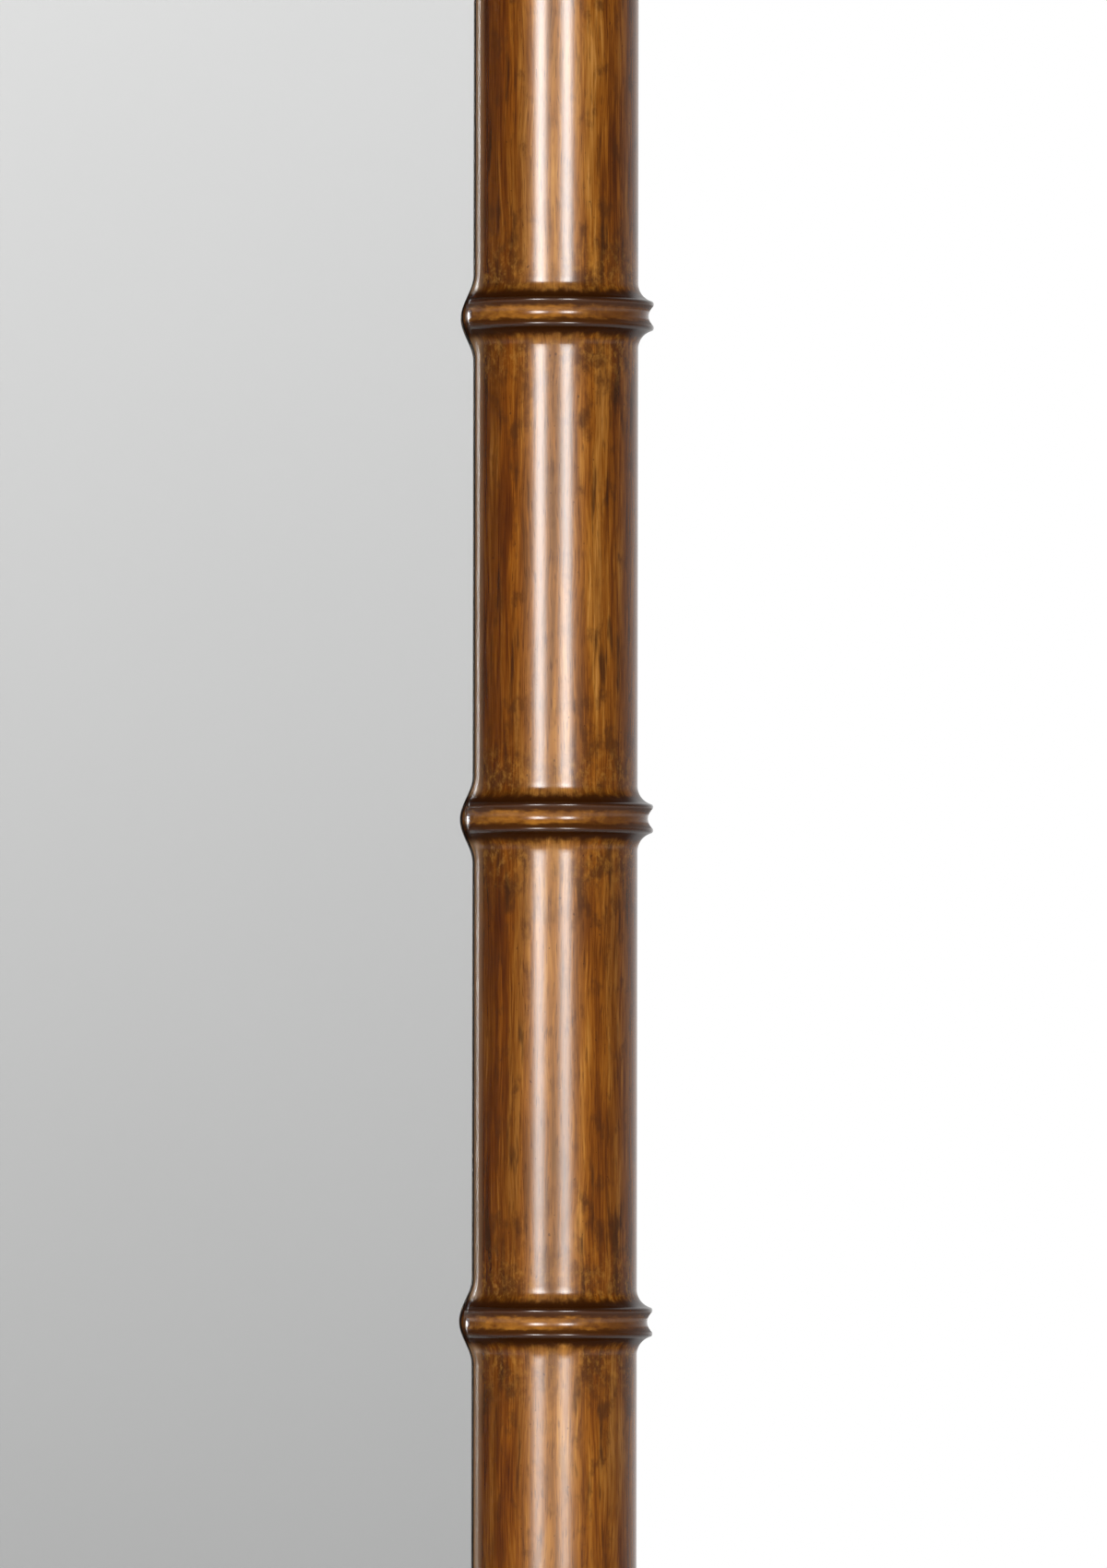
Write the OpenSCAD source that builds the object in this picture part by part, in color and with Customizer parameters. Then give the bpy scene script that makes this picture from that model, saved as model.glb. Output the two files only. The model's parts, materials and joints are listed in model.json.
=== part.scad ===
// Wall mirror in a frame of turned faux-bamboo poles, mitred at the corners.
// The wall is the plane y = 0, the mirror faces -Y, and z = 0 is the line of the two wall hooks.

/* [Frame layout] */
// Distance from one bamboo node to the next
node_pitch = 116; // [95:1:140]
// Nodes along each stile
nodes_high = 8; // [6:1:10]
// Nodes along each rail
nodes_wide = 5; // [4:1:8]
// How far the middle of the mirror hangs below the wall hooks
hang_drop = 245; // [200:1:290]

/* [Pole] */
// Diameter of the pole between its nodes
pole_d = 38; // [36:0.5:44]
// Depth of the pole behind its own axis, to its flat back
back_depth = 13; // [12.5:0.1:14.5]

/* [Node rings] */
// Height of the two lips of a node above the pole
lip_h = 3.6; // [3.3:0.05:4]
// Distance of each lip's crest from the middle of the node
lip_offset = 2.7; // [2.6:0.05:3]
// Radius of a lip's rounded crest
lip_r = 0.8; // [0.7:0.05:0.9]
// Height of the bottom of the groove between the lips
groove_h = 2.4; // [2:0.05:2.6]
// Radius of that groove
groove_r = 2.7; // [2.4:0.05:3]
// Radius of the cove between a lip and the pole
cove_r = 4.3; // [4.1:0.05:4.4]
// Distance of the cove's centre from the middle of the node
cove_offset = 7.5; // [7.4:0.05:7.7]

/* [Sight edge] */
// Distance of the sight edge from the pole's axis
sight_x = 18.8; // [18.5:0.05:19.5]
// How far the pole's planed side stands back from the lip at the sight edge
lip_reveal = 0.65; // [0.2:0.05:0.9]
// Thickness of that lip, in front of the glass
sight_lip_t = 2.5; // [1.5:0.1:3]
// Height of the smooth bulge of the sight edge at each node
bulge_h = 2.9; // [1.5:0.1:3.2]
// Half the length of that bulge along the pole
bulge_half = 10; // [8:0.1:12]

/* [Rebate and glazing] */
// Width of the rebate behind the sight edge
rebate_w = 8.4; // [7.5:0.1:9.4]
// Gap round the glass and the board, filled by the setting blocks
edge_gap = 1.5; // [1:0.1:2]
// Thickness of the black tape under the sight lip
tape_t = 0.3; // [0.2:0.05:0.5]
// How far that tape stays behind the sight edge
tape_setback = 1; // [0.5:0.1:3]
// Gap between the strips of tape at the corners
tape_gap = 0.4; // [0.2:0.1:1]
// Thickness of the glass
glass_t = 4; // [3:0.1:5]
// Thickness of the silvering and its protective paint
coating_t = 0.2; // [0.1:0.05:0.3]
// Thickness of the corrugated sheet behind the glass
sheet_t = 2; // [1:0.1:3]
// Thickness of the backing board
board_t = 3; // [2.5:0.1:4]
// Length of a setting block
block_l = 40; // [20:1:60]
// Distance of a setting block's middle from the corner of the glass
block_from_corner = 120; // [60:1:160]

/* [Corner joints] */
// Length of the biscuit along the mitre
biscuit_l = 28; // [20:0.5:29]
// Width of the biscuit across the mitre
biscuit_w = 14; // [10:0.5:15]
// Thickness of the biscuit
biscuit_t = 4; // [3:0.1:5]
// Distance of the biscuit in front of the pole's axis
biscuit_forward = 6; // [4:0.5:8]
// Glue gap all round the biscuit
glue_gap = 0.1; // [0.05:0.05:0.2]
// Length of each leg of a corner plate, from its outer corner
plate_leg = 56; // [50:1:70]
// Width of a corner plate's legs
plate_w = 14; // [12:0.5:16]
// Thickness of a corner plate
plate_t = 1.5; // [1:0.1:2]
// Distance of the first screw from the corner of the pole axes
plate_first = 18; // [16:0.5:22]
// Distance between the two screws in a leg
plate_pitch = 20; // [16:0.5:22]

/* [Screws] */
// Diameter of the screws' shanks
screw_d = 3.5; // [3:0.1:4]
// Length of a screw under its head
screw_l = 16; // [12:0.5:18]
// Length of a screw's point
screw_point = 4; // [3:0.1:5]
// Diameter of a screw's tip
tip_d = 0.7; // [0.5:0.1:1]
// Diameter of a screw's head
head_d = 7; // [6.4:0.1:7.6]
// Diameter of the flat on top of the head
head_top_d = 4.4; // [3.8:0.1:5]
// Height of a screw's head
head_h = 2.1; // [1.8:0.1:2.3]
// Height of the head's upright rim
head_rim_h = 0.9; // [0.6:0.05:1]
// Length of the two arms of the cross recess
recess_l = 3.6; // [3:0.1:3.8]
// Width of those arms
recess_w = 0.9; // [0.6:0.05:1.1]
// Depth of the recess
recess_depth = 1.1; // [0.8:0.05:1.3]
// Clearance round a shank in its pilot hole
pilot_gap = 0.05; // [0.02:0.01:0.1]
// Clearance round a shank in a plate's hole
hole_gap = 0.3; // [0.2:0.05:0.5]

/* [Turn buttons] */
// Distance from a button's pivot to the middle of its rounded tip
button_reach = 14; // [12:0.5:18]
// Thickness of a button
button_t = 1.4; // [1:0.1:1.6]
// Radius of a button round its pivot
button_hub_r = 5.5; // [4.5:0.1:5.7]
// Radius of a button's tip
button_tip_r = 4.5; // [3.5:0.1:5]
// Distance of a button's pivot from the rebate's wall
button_inset = 6; // [5.8:0.1:8]
// Gap above and below a button on its screw
button_gap = 0.2; // [0.15:0.05:0.25]
// Clearance of a button on its screw
pivot_gap = 0.1; // [0.05:0.01:0.15]

/* [Hangers] */
// Width of a hanger's strap
strap_w = 13; // [11:0.5:14]
// Length of a strap below its eye
strap_l = 42; // [38:1:50]
// Thickness of a strap's steel
strap_t = 1.2; // [1:0.05:1.25]
// Distance of a strap's first screw below its eye
strap_first = 8.5; // [8:0.1:9.5]
// Distance between a strap's screws
strap_pitch = 22; // [18:0.5:24]
// Diameter of the ring's wire
wire_d = 2.6; // [2.2:0.1:2.8]
// Clearance of the wire in the strap's eye
eye_gap = 0.08; // [0.05:0.01:0.1]
// Gap between the eye and the frame
eye_lift = 0.05; // [0.02:0.01:0.1]
// Side play of the ring on the eye
side_play = 1; // [0.5:0.1:1.5]
// Height of the middle of the ring's bow above the eye
ring_leg = 6; // [5:0.1:7]
// Radius of the ring's two corners, to the middle of its wire
ring_corner = 2; // [1.7:0.1:2.1]
// Gap between the ring and the frame that it leans on
rest_gap = 0.3; // [0.2:0.05:0.4]

/* [Bumpers] */
// Height of a bumper, which holds the frame off the wall
bumper_h = 5.6; // [5.5:0.1:8]
// Radius of a bumper's foot on the frame
bumper_r = 7; // [6:0.1:8]
// Radius of a bumper's face on the wall
bumper_face_r = 5.5; // [4:0.1:6]
// Distance of a bumper from the corner of the pole axes
bumper_from_corner = 82; // [75:1:100]

/* [Hidden] */
$fn = 64;

// The turn buttons have a node each, so their number along a stile and a rail is fixed
buttons_high = 3;
buttons_wide = 2;

// How far one shape runs into the next, so that no two surfaces only graze each other
graze = 0.05;

// How far shapes that are cut off, and the shapes that cut them, run past the pole's axis
cut_over = 30;

// Straight pieces in each half of a sight edge's bulge
bulge_steps = 12;

// Colours
wood_brown = [0.50, 0.29, 0.11];
raw_wood = [0.76, 0.60, 0.42];
silver_grey = [0.80, 0.82, 0.83];
glass_green = [0.72, 0.82, 0.79];
tape_black = [0.07, 0.07, 0.07];
board_brown = [0.45, 0.33, 0.22];
card_brown = [0.68, 0.53, 0.36];
zinc_grey = [0.66, 0.67, 0.68];
rubber_grey = [0.16, 0.16, 0.17];

// The four members: the turn about Y that brings local +X outwards
RIGHT = 0;
LEFT = 180;
TOP = -90;
BOTTOM = 90;

// The rectangle of the pole axes, and the middle of the mirror
axis_w = nodes_wide * node_pitch;
axis_h = nodes_high * node_pitch;
mid_z = -hang_drop;

// Depths from the wall, which is y = 0
pole_r = pole_d / 2;
frame_back_y = -bumper_h;
pole_y = frame_back_y - back_depth;
board_y = frame_back_y - board_t;
sheet_y = board_y - sheet_t;
coating_y = sheet_y - coating_t;
glass_y = coating_y - glass_t;
tape_y = glass_y - tape_t;

// The rebate in a member's own section, whose origin is the pole's axis
rebate_front = tape_y - pole_y;
rebate_wall = sight_x - rebate_w;
tape_w = rebate_w - tape_setback;

// The glazing's outline
glass_w = axis_w - 2 * (rebate_wall + edge_gap);
glass_h = axis_h - 2 * (rebate_wall + edge_gap);

// Hardware on the flat back of the poles
flat_half = sqrt(pow(pole_r, 2) - pow(back_depth, 2));
hardware_x = (flat_half - rebate_wall) / 2;
screw_r = screw_d / 2;
head_r = head_d / 2;
button_x = button_inset - rebate_wall;
button_seat = 2 * button_gap + button_t;

// The ring hangs in the strap's eye and leans on the frame
wire_r = wire_d / 2;
eye_r = wire_r + eye_gap;
eye_outer_r = eye_r + strap_t;
eye_y = eye_outer_r + eye_lift;
leg_x = strap_w / 2 + side_play + wire_r;
ring_top = ring_leg + leg_x;
ring_lean = asin((eye_y - wire_r - rest_gap) / ring_top);
eye_z = -(ring_top - wire_r) * cos(ring_lean);

// The middles of count equal stretches of a side
function middles(length, count) = [for (i = [0 : count - 1]) length * ((i + 0.5) / count - 0.5)];

// A line at a distance from the pole's axis, with a raised-cosine bulge at every node
function bulge(u) = bulge_h * (1 + cos(180 * u / bulge_half)) / 2;
function sight_line(distance, length, count) = concat(
    [[-distance, -length]],
    [
        for (z = middles(length, count), i = [-bulge_steps : bulge_steps])
            let (u = i * bulge_half / bulge_steps)
            [-distance - bulge(u), z + u]
    ],
    [[-distance, length]]
);

// Lengths of a side, and how far its pole's axis lies from the middle
function upright(side) = side == RIGHT || side == LEFT;
function axis_length(side) = upright(side) ? axis_h : axis_w;
function glass_length(side) = upright(side) ? glass_h : glass_w;
function axis_distance(side) = (upright(side) ? axis_w : axis_h) / 2;
function plate_screws(side) = [
    for (s = [-1, 1], i = [0, 1]) s * (axis_length(side) / 2 - plate_first - i * plate_pitch)
];

// Placing
module at_side(side) {
    translate([0, 0, mid_z]) rotate([0, side, 0]) translate([axis_distance(side), 0, 0]) children();
}

// A point on the flat back of a member: across it, outwards, and along it
module on_back(side, across, along) {
    at_side(side) translate([across, frame_back_y, along]) children();
}

// A corner of the pole axes on the flat back, with +X and +Z outwards
module at_corner(side_x, side_z) {
    translate([side_x * axis_w / 2, frame_back_y, mid_z + side_z * axis_h / 2])
        mirror([side_x < 0 ? 1 : 0, 0, 0]) mirror([0, 0, side_z < 0 ? 1 : 0]) children();
}

// A point on the right or left stile with its own Z upwards, at a height above the hooks
module on_stile_back(dir, height) {
    translate([dir * (axis_w / 2 + hardware_x), frame_back_y, height]) children();
}

// A shape drawn as x and z, extruded over a depth
module slab(from, to) {
    translate([0, to, 0]) rotate([90, 0, 0]) linear_extrude(height = to - from) children();
}

// Turned pole
module node_profile() {
    difference() {
        union() {
            translate([0, -cove_offset]) square([pole_r + lip_h - lip_r / 2, 2 * cove_offset]);
            for (s = [-1, 1]) translate([pole_r + lip_h - lip_r, s * lip_offset]) circle(lip_r);
        }
        for (s = [-1, 1])
            translate([pole_r + cove_r - graze, s * cove_offset]) circle(cove_r);
        translate([pole_r + groove_h + groove_r, 0]) circle(groove_r);
    }
}

module turned_pole(length, count) {
    rotate_extrude() {
        translate([0, -length / 2 - 2 * cut_over]) square([pole_r, length + 4 * cut_over]);
        for (z = middles(length, count)) translate([0, z]) node_profile();
    }
}

// The plan of a member between its two mitres
module mitred_plan(length) {
    polygon([
        [-cut_over, -length / 2 + cut_over], [cut_over, -length / 2 - cut_over],
        [cut_over, length / 2 + cut_over], [-cut_over, length / 2 - cut_over]
    ]);
}

// All that is planed off the pole's side towards the mirror
module planed_off_plan(length, count) {
    side_line = sight_line(sight_x - lip_reveal, length, count);
    polygon(concat(side_line, [[-2 * cut_over, length], [-2 * cut_over, -length]]));
}

module sight_lip_plan(length, count) {
    lip_line = sight_line(sight_x, length, count);
    polygon(concat(lip_line, [[-rebate_wall, length], [-rebate_wall, -length]]));
}

module pilot_hole() {
    rotate([90, 0, 0]) cylinder(r = screw_r + pilot_gap, h = screw_l);
}

// A member in its own frame: the pole's axis along Z, outwards +X, the wall towards +Y
module member(side, count, buttons, hanger_dir) {
    length = axis_length(side);
    difference() {
        intersection() {
            union() {
                difference() {
                    turned_pole(length, count);
                    slab(-cut_over, cut_over) planed_off_plan(length, count);
                }
                slab(rebate_front - sight_lip_t, rebate_front) sight_lip_plan(length, count);
            }
            slab(-cut_over, back_depth) mitred_plan(length);
        }
        translate([-cut_over - rebate_wall, rebate_front, -length])
            cube([cut_over, cut_over, 2 * length]);
        translate([0, back_depth, 0]) {
            for (z = middles(length, buttons)) translate([button_x, 0, z]) pilot_hole();
            for (z = plate_screws(side)) translate([hardware_x, 0, z]) pilot_hole();
            if (hanger_dir != 0)
                for (i = [0, 1])
                    translate([hardware_x, 0, hanger_dir * (strap_screw_z(i) - mid_z)])
                        pilot_hole();
        }
        for (s = [-1, 1])
            translate([0, -biscuit_forward, s * length / 2])
                biscuit(s, glue_gap);
    }
}

// hanger_dir says which way along the member is up, and is 0 where no hanger is
module placed_member(side, count, buttons, hanger_dir) {
    color(wood_brown) at_side(side) translate([0, pole_y, 0])
        member(side, count, buttons, hanger_dir);
}

module stile_right() placed_member(RIGHT, nodes_high, buttons_high, 1);
module stile_left() placed_member(LEFT, nodes_high, buttons_high, -1);
module rail_top() placed_member(TOP, nodes_wide, buttons_wide, 0);
module rail_bottom() placed_member(BOTTOM, nodes_wide, buttons_wide, 0);

// A lens-shaped biscuit across the mitre at one end of a member
module biscuit(end, gap) {
    arc_r = (pow(biscuit_l / 2, 2) + pow(biscuit_w / 2, 2)) / biscuit_w;
    slab(-biscuit_t / 2 - gap, biscuit_t / 2 + gap) rotate(end * 45)
        intersection_for (s = [-1, 1])
            translate([0, s * (arc_r - biscuit_w / 2)]) circle(arc_r + gap, $fn = 96);
}

module corner_biscuits() {
    color(raw_wood)
        for (side = [RIGHT, LEFT], s = [-1, 1])
            at_side(side) translate([0, pole_y - biscuit_forward, s * axis_h / 2]) biscuit(s, 0);
}

// Glazing
module sheet(y, thickness) {
    translate([-glass_w / 2, y, mid_z - glass_h / 2]) cube([glass_w, thickness, glass_h]);
}

module mirror_glass() color(glass_green) sheet(glass_y, glass_t);
module silvered_coating() color(silver_grey) sheet(coating_y, coating_t);
module corrugated_sheet() color(card_brown) sheet(sheet_y, sheet_t);
module backing_board() color(board_brown) sheet(board_y, board_t);

// Strips of tape on the rebate's floor: whole ones on the stiles, and between them on the rails
module rebate_tape() {
    color(tape_black)
        for (side = [RIGHT, LEFT, TOP, BOTTOM]) {
            end = rebate_wall + (upright(side) ? 0 : tape_w + tape_gap);
            half = axis_length(side) / 2 - end;
            at_side(side) translate([-rebate_wall - tape_w, tape_y, -half])
                cube([tape_w, tape_t, 2 * half]);
        }
}

// Two blocks along each side fill the gap round the glass
module setting_blocks() {
    color(rubber_grey)
        for (side = [RIGHT, LEFT, TOP, BOTTOM], s = [-1, 1]) {
            middle = s * (glass_length(side) / 2 - block_from_corner);
            at_side(side) translate([-rebate_wall - edge_gap, glass_y, middle - block_l / 2])
                cube([edge_gap, glass_t, block_l]);
        }
}

// A wood screw along Y, whose head sits on y = 0 and whose shank goes to -Y
module wood_screw() {
    rotate([90, 0, 0]) {
        cylinder(r = screw_r, h = screw_l - screw_point);
        translate([0, 0, screw_l - screw_point])
            cylinder(r1 = screw_r, r2 = tip_d / 2, h = screw_point);
    }
    rotate([-90, 0, 0]) difference() {
        union() {
            cylinder(r = head_r, h = head_rim_h);
            translate([0, 0, head_rim_h])
                cylinder(r1 = head_r, r2 = head_top_d / 2, h = head_h - head_rim_h);
        }
        for (a = [0, 90]) rotate(a)
            translate([-recess_l / 2, -recess_w / 2, head_h - recess_depth])
                cube([recess_l, recess_w, head_h]);
    }
}

// Corner plates
module corner_plate(side_x, side_z) {
    edge = hardware_x + plate_w / 2;
    color(zinc_grey) at_corner(side_x, side_z) slab(0, plate_t) difference() {
        translate([edge - plate_leg, edge - plate_leg]) difference() {
            square(plate_leg);
            translate([-cut_over, -cut_over]) square(plate_leg - plate_w + cut_over);
        }
        for (i = [0, 1]) {
            along = -plate_first - i * plate_pitch;
            translate([hardware_x, along]) circle(screw_r + hole_gap);
            translate([along, hardware_x]) circle(screw_r + hole_gap);
        }
    }
}

module corner_plate_top_right() corner_plate(1, 1);
module corner_plate_top_left() corner_plate(-1, 1);
module corner_plate_bottom_right() corner_plate(1, -1);
module corner_plate_bottom_left() corner_plate(-1, -1);

module corner_plate_screws() {
    color(zinc_grey)
        for (side = [RIGHT, LEFT, TOP, BOTTOM], z = plate_screws(side))
            on_back(side, hardware_x, z) translate([0, plate_t, 0]) wood_screw();
}

// Turn buttons, which hold the board in and swing aside to let it out
module turn_button(side, count, index) {
    color(zinc_grey)
        on_back(side, button_x, middles(axis_length(side), count)[index])
            slab(button_gap, button_gap + button_t) difference() {
                union() {
                    circle(button_hub_r);
                    translate([-button_reach, 0]) circle(button_tip_r);
                    polygon([
                        [0, -button_hub_r + graze], [0, button_hub_r - graze],
                        [-button_reach, button_tip_r - graze], [-button_reach, graze - button_tip_r]
                    ]);
                }
                circle(screw_r + pivot_gap);
            }
}

module turn_button_right_lower() turn_button(RIGHT, buttons_high, 0);
module turn_button_right_middle() turn_button(RIGHT, buttons_high, 1);
module turn_button_right_upper() turn_button(RIGHT, buttons_high, 2);
module turn_button_left_upper() turn_button(LEFT, buttons_high, 0);
module turn_button_left_middle() turn_button(LEFT, buttons_high, 1);
module turn_button_left_lower() turn_button(LEFT, buttons_high, 2);
module turn_button_top_right() turn_button(TOP, buttons_wide, 0);
module turn_button_top_left() turn_button(TOP, buttons_wide, 1);
module turn_button_bottom_left() turn_button(BOTTOM, buttons_wide, 0);
module turn_button_bottom_right() turn_button(BOTTOM, buttons_wide, 1);

module turn_button_screws() {
    color(zinc_grey) {
        for (side = [RIGHT, LEFT], z = middles(axis_h, buttons_high))
            on_back(side, button_x, z) translate([0, button_seat, 0]) wood_screw();
        for (side = [TOP, BOTTOM], z = middles(axis_w, buttons_wide))
            on_back(side, button_x, z) translate([0, button_seat, 0]) wood_screw();
    }
}

// Hangers: a strap whose rolled eye holds a D-ring
function strap_screw_z(i) = eye_z - strap_first - i * strap_pitch;

module hanger_strap(dir) {
    color(zinc_grey) on_stile_back(dir, eye_z) difference() {
        union() {
            translate([-strap_w / 2, 0, -strap_l]) cube([strap_w, strap_t, strap_l]);
            translate([-strap_w / 2, eye_y, 0]) rotate([0, 90, 0])
                cylinder(r = eye_outer_r, h = strap_w);
        }
        translate([-strap_w, eye_y, 0]) rotate([0, 90, 0])
            cylinder(r = eye_r, h = 2 * strap_w);
        for (i = [0, 1])
            translate([0, -strap_t, -strap_first - i * strap_pitch]) rotate([-90, 0, 0])
                cylinder(r = screw_r + hole_gap, h = 3 * strap_t);
    }
}

module hanger_strap_right() hanger_strap(1);
module hanger_strap_left() hanger_strap(-1);

// A bend of the ring's wire in the XZ plane, about the origin
module wire_bend(radius, from, angle) {
    rotate([90, 0, 0]) rotate(from)
        rotate_extrude(angle = angle) translate([radius, 0]) circle(wire_r, $fn = 32);
}

// A D-ring with its bar on the X axis and its bow upwards
module d_ring_wire() {
    bar_half = leg_x - ring_corner;
    translate([-bar_half, 0, 0]) rotate([0, 90, 0]) cylinder(r = wire_r, h = 2 * bar_half);
    translate([bar_half, 0, ring_corner]) wire_bend(ring_corner, -90, 90);
    translate([-bar_half, 0, ring_corner]) wire_bend(ring_corner, 180, 90);
    for (s = [-1, 1])
        translate([s * leg_x, 0, ring_corner]) cylinder(r = wire_r, h = ring_leg - ring_corner);
    translate([0, 0, ring_leg]) wire_bend(leg_x, 0, 180);
}

module d_ring(dir) {
    color(zinc_grey) on_stile_back(dir, eye_z) translate([0, eye_y, 0])
        rotate([ring_lean, 0, 0]) d_ring_wire();
}

module d_ring_right() d_ring(1);
module d_ring_left() d_ring(-1);

module hanger_screws() {
    color(zinc_grey)
        for (dir = [-1, 1], i = [0, 1])
            on_stile_back(dir, strap_screw_z(i)) translate([0, strap_t, 0]) wood_screw();
}

// Rubber bumpers hold the frame off the wall
module wall_bumpers() {
    color(rubber_grey)
        for (side = [RIGHT, LEFT], s = [-1, 1])
            on_back(side, hardware_x, s * (axis_h / 2 - bumper_from_corner)) rotate([-90, 0, 0])
                cylinder(r1 = bumper_r, r2 = bumper_face_r, h = bumper_h);
}

stile_right();
stile_left();
rail_top();
rail_bottom();
corner_biscuits();
mirror_glass();
silvered_coating();
rebate_tape();
setting_blocks();
corrugated_sheet();
backing_board();
corner_plate_top_right();
corner_plate_top_left();
corner_plate_bottom_right();
corner_plate_bottom_left();
corner_plate_screws();
turn_button_right_lower();
turn_button_right_middle();
turn_button_right_upper();
turn_button_left_upper();
turn_button_left_middle();
turn_button_left_lower();
turn_button_top_right();
turn_button_top_left();
turn_button_bottom_left();
turn_button_bottom_right();
turn_button_screws();
hanger_strap_right();
hanger_strap_left();
d_ring_right();
d_ring_left();
hanger_screws();
wall_bumpers();
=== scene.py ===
"""Looks of the wall mirror: a frame of turned faux-bamboo poles under brown glaze and gloss lacquer.

Everything is in metres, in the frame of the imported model: the wall is y = 0, the mirror faces -Y, and
z = 0 is the line of the two wall hooks.
"""

import json
from math import acos, asin, cos, pi, radians, sin

import bmesh
import bpy
import numpy as np
from mathutils import Matrix, Vector


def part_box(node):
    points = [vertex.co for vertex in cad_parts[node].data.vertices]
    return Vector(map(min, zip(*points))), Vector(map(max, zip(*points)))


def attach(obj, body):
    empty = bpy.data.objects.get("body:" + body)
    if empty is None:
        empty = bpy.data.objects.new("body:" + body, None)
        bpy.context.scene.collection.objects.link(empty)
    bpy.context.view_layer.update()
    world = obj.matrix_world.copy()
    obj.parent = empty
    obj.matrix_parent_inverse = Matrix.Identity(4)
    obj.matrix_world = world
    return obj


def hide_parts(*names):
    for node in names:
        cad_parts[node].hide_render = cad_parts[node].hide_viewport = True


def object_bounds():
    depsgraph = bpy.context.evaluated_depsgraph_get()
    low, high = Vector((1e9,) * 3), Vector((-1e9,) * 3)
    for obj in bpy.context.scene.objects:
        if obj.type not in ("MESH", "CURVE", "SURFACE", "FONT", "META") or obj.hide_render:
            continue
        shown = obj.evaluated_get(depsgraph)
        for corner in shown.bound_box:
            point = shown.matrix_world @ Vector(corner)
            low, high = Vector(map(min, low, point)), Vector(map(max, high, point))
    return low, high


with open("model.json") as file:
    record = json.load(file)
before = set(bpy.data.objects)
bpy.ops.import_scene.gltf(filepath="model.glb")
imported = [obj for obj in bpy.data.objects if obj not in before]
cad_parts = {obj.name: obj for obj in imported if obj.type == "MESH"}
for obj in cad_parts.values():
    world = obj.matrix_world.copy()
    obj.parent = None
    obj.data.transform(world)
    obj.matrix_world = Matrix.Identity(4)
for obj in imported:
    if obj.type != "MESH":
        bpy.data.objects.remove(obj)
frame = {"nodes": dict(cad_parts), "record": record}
cad_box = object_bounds()

# One millimetre
MM = 0.001

# The turned pole, as in the part
NODE_PITCH = 116 * MM
POLE_R = 19 * MM
BACK_DEPTH = 13 * MM
LIP_H = 3.585 * MM
LIP_OFFSET = 2.7 * MM
LIP_R = 0.8 * MM
GROOVE_H = 2.4 * MM
GROOVE_R = 2.7 * MM
COVE_R = 4.3 * MM
COVE_OFFSET = 7.5 * MM

# The sight edge with its lip, its bulge at each node and the rebate behind it
SIGHT_X = 18.8 * MM
LIP_REVEAL = 0.52 * MM
SIGHT_LIP_T = 2.5 * MM
BULGE_H = 2.9 * MM
BULGE_HALF = 10 * MM
REBATE_W = 8.4 * MM
TAPE_T = 0.3 * MM

# The planed side between the turned front and the lip leans out towards the lip by this much
SIDE_LEAN = 0.46 * MM

# Sanding eases the arris of the planed side: how far across, and through what turn
ARRIS_W = 0.09 * MM
ARRIS_TURN = radians(3)

# In the rings' grooves that arris is round instead: how far across, and how far from straight ahead it
# turns. It is so up to the first distance from the groove's middle, and the eased one from the second on.
ROUND_W = 1.5 * MM
ROUND_TURN = radians(85)
ROUND_REACH = (0.5 * MM, 1.8 * MM)

# Half the width of the hairline that shows at each mitre
MITRE_GAP = 0.04 * MM

# Rows of the pole's mesh, finest on the rings: the step from row to row, and the distance from the node's
# middle at which the next step takes over
FINE_ROWS = (0.25 * MM, 4 * MM)
COVE_ROWS = (0.5 * MM, 7.5 * MM)
BULGE_ROWS = (0.9 * MM, 12 * MM)
PLAIN_ROWS = (11.5 * MM, NODE_PITCH / 2)

# Points of a section along the turned front, and over the arris
TURNED_POINTS = 72
ARRIS_POINTS = 6

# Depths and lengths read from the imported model
right_low, right_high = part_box("stile_right")
glass_low, glass_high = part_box("mirror_glass")
FRAME_BACK_Y = right_high.y
POLE_Y = FRAME_BACK_Y - BACK_DEPTH
REBATE_FRONT = glass_low.y - TAPE_T - POLE_Y
REBATE_X = SIGHT_X - REBATE_W
NODES_HIGH = round((right_high.z - right_low.z) / NODE_PITCH)
NODES_WIDE = round((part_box("rail_top")[1].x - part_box("rail_top")[0].x) / NODE_PITCH)
AXIS_H = NODES_HIGH * NODE_PITCH
AXIS_W = NODES_WIDE * NODE_PITCH
MID_Z = (glass_low.z + glass_high.z) / 2

# The four members: the turn about Y that brings a member's own +X outwards, and its number of nodes
MEMBERS = {
    "stile_right": (0, NODES_HIGH),
    "stile_left": (180, NODES_HIGH),
    "rail_top": (-90, NODES_WIDE),
    "rail_bottom": (90, NODES_WIDE),
}

# Each member's finish starts this far along the same endless pattern
PATTERN_STEP = 1500 * MM

# Edges that turn by more than this are shown sharp: on the poles, on the steel and on what is round
POLE_SHARP = radians(38)
STEEL_SHARP = radians(30)
ROUND_SHARP = radians(40)


# Nodes of a material

# Places of the Mix node's sockets for colours: the two that it mixes, and the result
MIX_A = 6
MIX_B = 7
MIX_RESULT = 2


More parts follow.
